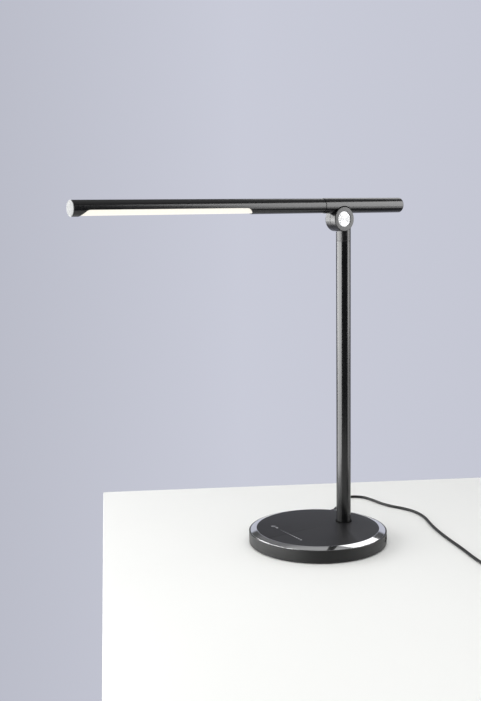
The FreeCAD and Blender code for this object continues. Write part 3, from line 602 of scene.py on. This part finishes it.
def coil_point(turn):
    """Spirals in on the table, climbs in half a turn and spirals out on top."""
    s = sizes()
    tightest = s.coil_turns_in + CLIMB_TURNS / 2
    inward = turn if turn < tightest else 2 * tightest - turn
    radius = s.coil_radius - s.coil_pitch * inward
    climb = min(max((turn - s.coil_turns_in) / CLIMB_TURNS, 0), 1)
    lift = s.coil_pitch * climb * climb * (3 - 2 * climb)
    angle = coil_angle(turn)
    return coil_centre() + Vector((radius * math.cos(angle), radius * math.sin(angle), lift))


def coil_points():
    """Control points of the coil, with a last one straight on into the adapter's relief."""
    s = sizes()
    total = s.coil_turns_in + CLIMB_TURNS + s.coil_turns_out
    steps = math.ceil(total * s.coil_points)
    points = [coil_point(total * k / steps) for k in range(steps + 1)]
    heading = (points[-1] - coil_point(total - HEADING_TURNS)).normalized()
    return points + [points[-1] + heading * s.lead_diameter]


class LAMP_OT_power_lead(bpy.types.Operator):
    """Lay the power lead from its plug along the table into the put-away coil"""

    bl_idname = "lamp.power_lead"
    bl_label = "Power Lead"

    def execute(self, context):
        s = sizes()
        start, outward = lead_exit()
        route = [start, start + outward * LEAD_OUT]
        route += [Vector(stop) * MM for stop in LEAD_ROUTE] + coil_points()
        curve = bpy.data.curves.new("power_lead", "CURVE")
        curve.dimensions = "3D"
        curve.bevel_depth = s.lead_diameter / 2
        curve.bevel_resolution = 6
        curve.use_fill_caps = True
        line = curve.splines.new("NURBS")
        line.points.add(len(route) - 1)
        for point, stop in zip(line.points, route):
            point.co = (*stop, 1)
        line.order_u = 3
        line.use_endpoint_u = True
        line.resolution_u = 8
        lead = linked("power_lead", curve, jacket_rubber())
        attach(lead, "base")
        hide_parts("power_cord", "cord_coil")
        return {"FINISHED"}


class LAMP_OT_coil_strap(bpy.types.Operator):
    """Wrap the hook-and-loop strap round the coil"""

    bl_idname = "lamp.coil_strap"
    bl_label = "Coil Strap"

    def execute(self, context):
        centre = coil_centre()
        turn = Matrix.Rotation(coil_angle(STRAP_TURN), 4, "Z")
        strap_frame = Matrix.Translation((centre.x, centre.y, 0)) @ turn
        into = strap_frame.inverted()
        corners = [into @ vertex.co for vertex in NODES["coil_tie"].data.vertices]
        low, high = Vector(map(min, *corners)), Vector(map(max, *corners))
        bm = bmesh.new()
        section = [bm.verts.new((x, low.y, z)) for x, z in (
            (low.x, low.z), (high.x, low.z), (high.x, high.z), (low.x, high.z))]
        for pair in zip(section, section[1:] + section[:1]):
            bm.edges.new(pair)
        bmesh.ops.bevel(bm, geom=section, offset=STRAP_ROUND, offset_type="OFFSET", segments=6,
                        profile=0.5, affect="VERTICES", material=-1)
        made = bmesh.ops.extrude_edge_only(bm, edges=list(bm.edges))
        bmesh.ops.translate(bm, verts=verts_of(made), vec=(0, high.y - low.y, 0))
        bmesh.ops.recalc_face_normals(bm, faces=bm.faces)
        bmesh.ops.solidify(bm, geom=list(bm.faces), thickness=sizes().strap_thickness)
        bmesh.ops.transform(bm, matrix=strap_frame, verts=bm.verts)
        smooth(bm)
        strap = new_piece("coil_strap", bm, hook_strap(), "base")
        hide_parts("coil_tie")
        return {"FINISHED"}


# The touch legend

LEGEND_Y = -45.1 * MM
LEGEND_TURN = math.radians(-4.5)
POWER_MARK_X = -36.4 * MM
POWER_MARK_RADIUS = 2.6 * MM
POWER_ARC_START = math.radians(125)
POWER_ARC = math.radians(290)
POWER_ARC_STEPS = 36
POWER_STEM_RISE = POWER_MARK_RADIUS * 0.75
POWER_STEM_LENGTH = POWER_MARK_RADIUS * 1.1
MODE_MARK_X = -28.8 * MM
MODE_MARK_LENGTH = 5.2 * MM
MODE_SHORT_LENGTH = MODE_MARK_LENGTH * 0.6
MODE_LONG_WEIGHT = 1.6
MODE_SHORT_RISE = 2.4
FIRST_DOT_X = -16.4 * MM
LAST_DOT_X = 30.4 * MM
DOT_COUNT = 10
DOT_SIDES = 20
FIRST_DOT_RADIUS = 0.45 * MM
LAST_DOT_RADIUS = 1.05 * MM


def raised(bm):
    """Gives flat marks their ink thickness."""
    made = bmesh.ops.extrude_face_region(bm, geom=list(bm.faces))
    bmesh.ops.translate(bm, verts=verts_of(made), vec=(0, 0, sizes().mark_height))
    bmesh.ops.recalc_face_normals(bm, faces=bm.faces)


def turned_legend(bm):
    """Turns marks about the power mark: the photographed row isn't quite square to the arm."""
    bmesh.ops.rotate(bm, verts=bm.verts, cent=(POWER_MARK_X, LEGEND_Y, 0),
                     matrix=Matrix.Rotation(LEGEND_TURN, 3, "Z"))


def dot(bm, x, y, radius):
    place = Matrix.Translation((x, y, PANEL_TOP))
    bmesh.ops.create_circle(bm, cap_ends=True, segments=DOT_SIDES, radius=radius, matrix=place)


def bar(bm, x, y, across, along):
    """A flat bar on the panel, of a width across and a length along the arm."""
    place = Matrix.Translation((x, y, PANEL_TOP)) @ Matrix.Diagonal((across, along, 1, 1))
    bmesh.ops.create_grid(bm, x_segments=1, y_segments=1, size=0.5, matrix=place)


class LAMP_OT_touch_legend(bpy.types.Operator):
    """Print the power mark, the mode mark and the row of brightness dots on the panel"""

    bl_idname = "lamp.touch_legend"
    bl_label = "Touch Legend"

    def execute(self, context):
        ink = printed_mark()
        self.print_marks("brightness_dots", self.dots(), ink)
        self.print_marks("power_mark", self.signs(), ink)
        return {"FINISHED"}

    def print_marks(self, name, bm, ink):
        raised(bm)
        turned_legend(bm)
        new_piece(name, bm, ink, "base")

    def dots(self):
        bm = bmesh.new()
        for k in range(DOT_COUNT):
            share = k / (DOT_COUNT - 1)
            x = FIRST_DOT_X + (LAST_DOT_X - FIRST_DOT_X) * share
            radius = FIRST_DOT_RADIUS + (LAST_DOT_RADIUS - FIRST_DOT_RADIUS) * share
            dot(bm, x, LEGEND_Y, radius)
        return bm

    def signs(self):
        line = sizes().mark_line
        bm = bmesh.new()
        ends = [bm.verts.new((r, 0, 0)) for r in (POWER_MARK_RADIUS - line, POWER_MARK_RADIUS)]
        bmesh.ops.rotate(bm, verts=ends, cent=(0, 0, 0),
                         matrix=Matrix.Rotation(POWER_ARC_START, 3, "Z"))
        bmesh.ops.spin(bm, geom=[bm.edges.new(ends)], cent=(0, 0, 0), axis=(0, 0, 1),
                       angle=POWER_ARC, steps=POWER_ARC_STEPS, use_merge=False)
        bmesh.ops.translate(bm, verts=bm.verts, vec=(POWER_MARK_X, LEGEND_Y, PANEL_TOP))
        bar(bm, POWER_MARK_X, LEGEND_Y + POWER_STEM_RISE, line, POWER_STEM_LENGTH)
        bar(bm, MODE_MARK_X, LEGEND_Y, MODE_MARK_LENGTH, line * MODE_LONG_WEIGHT)
        bar(bm, MODE_MARK_X, LEGEND_Y + line * MODE_SHORT_RISE, MODE_SHORT_LENGTH, line)
        return bm


# The hinge disc and the port

DISC_CHAMFER = 0.35 * MM
DISC_STEPS = 96
DISC_EDGE_ANGLE = 50
SAMPLES_PER_GROOVE = 6
SOCKET_SHEET = 0.4 * MM
TONGUE_DROP = 1.9 * MM
CONTACT_COUNT = 4
CONTACT_PITCH = 2.3 * MM
CONTACT_SIZE = (6.5 * MM, 1.0 * MM, 0.2 * MM)
CONTACT_INSET = 7.5 * MM
CONTACT_ROUND = 0.07 * MM


class LAMP_OT_hinge_face(bpy.types.Operator):
    """Turn the bright hinge disc with its concentric tool marks"""

    bl_idname = "lamp.hinge_face"
    bl_label = "Hinge Face"

    def execute(self, context):
        s = sizes()
        low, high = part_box("hinge_disc")
        radius = (high.z - low.z) / 2
        flat = radius - DISC_CHAMFER
        samples = int(flat / s.groove_pitch * SAMPLES_PER_GROOVE)
        bm = bmesh.new()
        profile = [bm.verts.new((x, 0, radius)) for x in (low.x, high.x - DISC_CHAMFER)]
        for k in range(samples + 1):
            r = flat * (1 - k / samples)
            depth = s.groove_depth * (1 - math.cos(math.tau * r / s.groove_pitch)) / 2
            profile.append(bm.verts.new((high.x - depth, 0, r)))
        edges = [bm.edges.new(pair) for pair in zip(profile, profile[1:])]
        bmesh.ops.spin(bm, geom=edges, cent=(0, 0, 0), axis=(1, 0, 0), angle=math.tau,
                       steps=DISC_STEPS, use_merge=True)
        bmesh.ops.remove_doubles(bm, verts=bm.verts, dist=MERGE_GAP)
        bmesh.ops.contextual_create(bm, geom=[edge for edge in bm.edges if edge.is_boundary])
        bmesh.ops.translate(bm, verts=bm.verts, vec=(0, HINGE_AXIS.y, HINGE_AXIS.z))
        bmesh.ops.recalc_face_normals(bm, faces=bm.faces)
        smooth(bm, DISC_EDGE_ANGLE)
        disc = new_piece("hinge_face", bm, turned_aluminium(), "head")
        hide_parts("hinge_disc")
        return {"FINISHED"}


class LAMP_OT_port_contacts(bpy.types.Operator):
    """Lay the four gilt contacts on the charging port's tongue"""

    bl_idname = "lamp.port_contacts"
    bl_label = "Port Contacts"

    def execute(self, context):
        axis = middle_of("usb_socket")
        outward = Matrix.Rotation(math.atan2(axis.y, axis.x), 3, "Z")
        front = max(v.co.xy.length for v in NODES["usb_socket"].data.vertices)
        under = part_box("usb_socket")[1].z - 2 * SOCKET_SHEET - TONGUE_DROP
        shape = Matrix.Diagonal((*CONTACT_SIZE, 1))
        bm = bmesh.new()
        for k in range(CONTACT_COUNT):
            across = (k - (CONTACT_COUNT - 1) / 2) * CONTACT_PITCH
            place = Matrix.Translation(
                (front - CONTACT_INSET, across, under - CONTACT_SIZE[2] / 2))
            made = bmesh.ops.create_cube(bm, size=1, matrix=place @ shape)
            edges = list({edge for vertex in made["verts"] for edge in vertex.link_edges})
            bmesh.ops.bevel(bm, geom=edges, offset=CONTACT_ROUND, offset_type="OFFSET",
                            segments=2, profile=0.5, affect="EDGES", material=-1)
        bmesh.ops.rotate(bm, verts=bm.verts, cent=(0, 0, 0), matrix=outward)
        smooth(bm)
        new_piece("port_contacts", bm, gilt_contact(), "base")
        return {"FINISHED"}


# Finishes of the CAD nodes

GREEN_MASK = (0.012, 0.09, 0.035)
WHITE_MASK = (0.78, 0.78, 0.76)
SOCKET_TONE = (0.01, 0.01, 0.01)
ADAPTER_TONE = (0.014, 0.014, 0.0145)
STEEL_NODES = (
    "usb_socket", "bottom_screws", "pole_nipple", "pole_washer", "pole_nut", "swivel_spindle",
    "swivel_set_screw", "hinge_bolt", "spring_washers", "hinge_nut", "roll_spindle", "roll_clip",
    "tip_screw", "dc_plug_barrel", "adapter_pins",
)


class LAMP_OT_base_finishes(bpy.types.Operator):
    """Finish the base, its panel, its port and the steel pieces"""

    bl_idname = "lamp.base_finishes"
    bl_label = "Base Finishes"

    def execute(self, context):
        tone = colours().moulding
        base = black_moulding("base_moulding", shade(tone, 0.6), 0.42, 0.1)
        coat(base, "base_shell", "bottom_cover")
        coat(black_moulding("trim_moulding", shade(tone, 0.5), 0.62, 0.12), "usb_bezel")
        coat(gasket_rubber(), "foot_ring")
        coat(charcoal_panel(), "touch_panel")
        coat(mirror_chrome(), "chrome_ring")
        coat(foam_pad(), "anti_slip_pad")
        coat(plated_steel(), *STEEL_NODES)
        coat(grey_iron(), "counterweight")
        coat(circuit_board("green_board", GREEN_MASK), "power_board", "touch_board")
        coat(black_moulding("socket_moulding", SOCKET_TONE, 0.4, 0.15), "dc_socket")
        return {"FINISHED"}


class LAMP_OT_arm_finishes(bpy.types.Operator):
    """Finish the pole, the hinge, the arm and the light"""

    bl_idname = "lamp.arm_finishes"
    bl_label = "Arm Finishes"

    def execute(self, context):
        coat(satin_paint(), "pole_tube", "arm_sleeve", "light_tube")
        coat(cast_paint(), "swivel_collar", "arm_knuckle", "rear_hinge_cap")
        coat(silver_lacquer(), "end_cap")
        coat(bare_aluminium(), "pole_insert", "light_hub", "led_carrier")
        coat(washer_nylon(), "swivel_washer", "friction_washer", "roll_washer")
        coat(opal_lens(), "diffuser")
        coat(circuit_board("white_board", WHITE_MASK), "led_board")
        coat(chip_phosphor(), "led_chips")
        return {"FINISHED"}


class LAMP_OT_lead_finishes(bpy.types.Operator):
    """Finish the plug, the adapter and the inner leads"""

    bl_idname = "lamp.lead_finishes"
    bl_label = "Lead Finishes"

    def execute(self, context):
        rubber = bpy.data.materials["jacket_rubber"]
        coat(rubber, "dc_plug_grip", "adapter_relief", "pole_lead", "arm_lead", "light_lead")
        coat(black_moulding("adapter_moulding", ADAPTER_TONE, 0.38, 0.2), "adapter_body")
        return {"FINISHED"}


# The stage

CAMERA_AZIMUTH = math.radians(56.23)
CAMERA_PITCH = math.radians(7.65)
CAMERA_ROLL = math.radians(-0.82)
CAMERA_PLACE = Vector((1.0261, -0.8039, 0.4289))
CAMERA_LENS = 52.55
CAMERA_SENSOR = 36
CAMERA_CLIP = (0.01, 50)
TABLE_CORNER = Vector((-0.388, -0.12, 0.0))
TABLE_BACK_WAY = Vector((0.4764, 0.8792, 0.0))
TABLE_SIDE_WAY = Vector((0.8957, -0.4446, 0.0))
TABLE_LENGTH = 0.68
TABLE_DEPTH = 0.95
TABLE_THICKNESS = 0.03
TABLE_ROUND = 1.5 * MM
LIGHT_TARGET = Vector((0, 0, 0.3))
ROOM_FILL = (0.54, 0.54, 0.545)
CEILING_LOW = (0.1, 0.1, 0.103)
CEILING_MIDDLE = (0.19, 0.19, 0.195)
CEILING_HIGH = (0.4, 0.4, 0.4)

# Name, compass direction in degrees, distance, height, width, tallness, radiance and role.
# A sheen shows only in reflections, and a fill lights only matt surfaces.
SOFTBOXES = (
    ("window_sheen", -111, 1.7, 0.33, 3.1, 0.74, 10.8, "sheen"),
    ("barrel_sheen", -153, 1.7, 1.05, 1.0, 0.8, 9.0, "sheen"),
    ("window_low_sheen", -108, 1.7, -0.42, 2.85, 0.8, 7.5, "sheen"),
    ("window_fill", -116, 1.7, 0.85, 3.2, 1.3, 2.0, "fill"),
    ("side_sheen", 51, 1.9, 0.82, 1.5, 1.8, 5.8, "sheen"),
    ("side_low_sheen", 51, 1.9, -0.32, 1.5, 0.5, 2.6, "sheen"),
    ("side_fill", 62, 1.9, 0.85, 2.4, 1.8, 0.3, "fill"),
    ("top_fill", -30, 0.5, 2.4, 1.6, 1.6, 2.4, "fill"),
    ("back_sheen", 122, 1.46, 1.28, 0.93, 0.72, 1.4, "sheen"),
)


def softbox(name, azimuth, distance, height, width, tall, radiance, role):
    """A large area light that faces the lamp from a compass direction."""
    light = bpy.data.lights.new(name, "AREA")
    light.shape = "RECTANGLE"
    light.size, light.size_y = width, tall
    light.energy = radiance * math.pi * width * tall
    lamp = bpy.data.objects.new(name, light)
    turn = math.radians(azimuth)
    lamp.location = (distance * math.cos(turn), distance * math.sin(turn), height)
    lamp.rotation_euler = (LIGHT_TARGET - lamp.location).to_track_quat("-Z", "Y").to_euler()
    lamp.visible_camera = False
    lamp.visible_diffuse = role == "fill"
    lamp.visible_glossy = role == "sheen"
    bpy.context.scene.collection.objects.link(lamp)


def studio_world():
    """A pale wall for the camera, even light for matt surfaces, and a room for reflections."""
    world = bpy.data.worlds.new("studio")
    bpy.context.scene.world = world
    f = Finish(world, "ShaderNodeOutputWorld")
    tone = colours().backdrop
    where = f.node("ShaderNodeTexCoord", output="Generated")
    right = (math.cos(CAMERA_AZIMUTH), math.sin(CAMERA_AZIMUTH), 0)
    toward = (math.sin(CAMERA_AZIMUTH), -math.cos(CAMERA_AZIMUTH), 0)

    def along(way):
        return f.node("ShaderNodeVectorMath", {"operation": "DOT_PRODUCT"}, {0: where, 1: way},
                      output="Value")

    across = along(right) * 0.5 + 0.5
    wall = f.ramp(across, (0.38, shade(tone, 0.84)), (0.5, tone), (0.62, shade(tone, 0.955)))
    facing = along(toward) * 0.5 + 0.5
    sides = f.ramp(facing, (0.08, tone), (0.35, shade(tone, 0.25)), (0.8, shade(tone, 0.08)))
    height = along((0, 0, 1))
    above = f.ramp(height, (0.31, (0.0, 0.0, 0.0)), (0.36, (1.0, 1.0, 1.0)))
    ceiling = f.ramp(height, (0.44, CEILING_LOW), (0.52, CEILING_MIDDLE), (0.74, CEILING_MIDDLE),
                     (0.81, CEILING_HIGH))
    room = f.mix(above, sides, ceiling)
    camera_ray = f.node("ShaderNodeLightPath", output="Is Camera Ray")
    glossy_ray = f.node("ShaderNodeLightPath", output="Is Glossy Ray")
    seen = f.mix(camera_ray, f.mix(glossy_ray, ROOM_FILL, room), wall)
    background = f.node("ShaderNodeBackground", None, {"Color": seen, "Strength": 1.0})
    f.tree.links.new(background.socket, f.output.inputs["Surface"])


def floor_finish():
    """Pale painted table top."""
    f = finish("pale_floor")
    cloud = f.noise(f.place(), 3.0, 2.0)
    tone = colours().floor
    return f.surface(
        Base_Color=f.mix(cloud, shade(tone, 0.985), shade(tone, 1.01)),
        Roughness=0.55 + cloud * 0.05)


class LAMP_OT_stage(bpy.types.Operator):
    """Set the pale table, the soft studio light and the camera"""

    bl_idname = "lamp.stage"
    bl_label = "Stage"

    def execute(self, context):
        self.table()
        studio_world()
        for box in SOFTBOXES:
            softbox(*box)
        self.camera(context)
        context.scene.view_settings.view_transform = "Standard"
        return {"FINISHED"}

    def table(self):
        back, side = TABLE_BACK_WAY * TABLE_LENGTH, TABLE_SIDE_WAY * TABLE_DEPTH
        bm = bmesh.new()
        top = bm.faces.new(
            [bm.verts.new(TABLE_CORNER + way) for way in (Vector(), side, side + back, back)])
        made = bmesh.ops.extrude_face_region(bm, geom=[top])
        bmesh.ops.translate(bm, verts=verts_of(made), vec=(0, 0, -TABLE_THICKNESS))
        bmesh.ops.recalc_face_normals(bm, faces=bm.faces)
        bmesh.ops.bevel(bm, geom=list(bm.edges), offset=TABLE_ROUND, offset_type="OFFSET",
                        segments=3, profile=0.5, affect="EDGES", material=-1)
        smooth(bm)
        floor = solid("floor", bm, floor_finish())

    def camera(self, context):
        a, p, t = CAMERA_AZIMUTH, CAMERA_PITCH, CAMERA_ROLL
        ahead = Vector((-math.sin(a) * math.cos(p), math.cos(a) * math.cos(p), -math.sin(p)))
        level = Vector((math.cos(a), math.sin(a), 0))
        above = level.cross(ahead)
        right = level * math.cos(t) + above * math.sin(t)
        up = above * math.cos(t) - level * math.sin(t)
        data = bpy.data.cameras.new("camera")
        data.sensor_width = CAMERA_SENSOR
        data.lens = CAMERA_LENS
        data.clip_start, data.clip_end = CAMERA_CLIP
        camera = bpy.data.objects.new("camera", data)
        turn = Matrix((right, up, -ahead)).transposed().to_4x4()
        camera.matrix_world = Matrix.Translation(CAMERA_PLACE) @ turn
        context.scene.collection.objects.link(camera)
        context.scene.camera = camera


# The add-on

OPERATORS = (
    LAMP_OT_stage, LAMP_OT_power_lead, LAMP_OT_coil_strap, LAMP_OT_touch_legend,
    LAMP_OT_hinge_face, LAMP_OT_port_contacts, LAMP_OT_base_finishes, LAMP_OT_arm_finishes,
    LAMP_OT_lead_finishes,
)


class LAMP_PT_dresser(bpy.types.Panel):
    """Lists the lamp's dressing steps and values"""

    bl_idname = "LAMP_PT_dresser"
    bl_label = "Table Lamp"
    bl_space_type = "VIEW_3D"
    bl_region_type = "UI"
    bl_category = "Table Lamp"

    def draw(self, context):
        for operator in OPERATORS:
            self.layout.operator(operator.bl_idname)
        for group in (context.scene.lamp_sizes, context.scene.lamp_colours):
            box = self.layout.box()
            for key in group.bl_rna.properties.keys():
                if key not in ("rna_type", "name"):
                    box.prop(group, key)


CLASSES = (LampSizes, LampColours, *OPERATORS, LAMP_PT_dresser)


def register():
    for cls in CLASSES:
        bpy.utils.register_class(cls)
    bpy.types.Scene.lamp_sizes = PointerProperty(type=LampSizes)
    bpy.types.Scene.lamp_colours = PointerProperty(type=LampColours)


def unregister():
    del bpy.types.Scene.lamp_colours
    del bpy.types.Scene.lamp_sizes
    for cls in reversed(CLASSES):
        bpy.utils.unregister_class(cls)


def main():
    register()
    bpy.ops.lamp.stage()
    bpy.ops.lamp.power_lead()
    bpy.ops.lamp.coil_strap()
    bpy.ops.lamp.touch_legend()
    bpy.ops.lamp.hinge_face()
    bpy.ops.lamp.port_contacts()
    bpy.ops.lamp.base_finishes()
    bpy.ops.lamp.arm_finishes()
    bpy.ops.lamp.lead_finishes()
    bpy.context.view_layer.update()


if __name__ == "__main__":
    main()
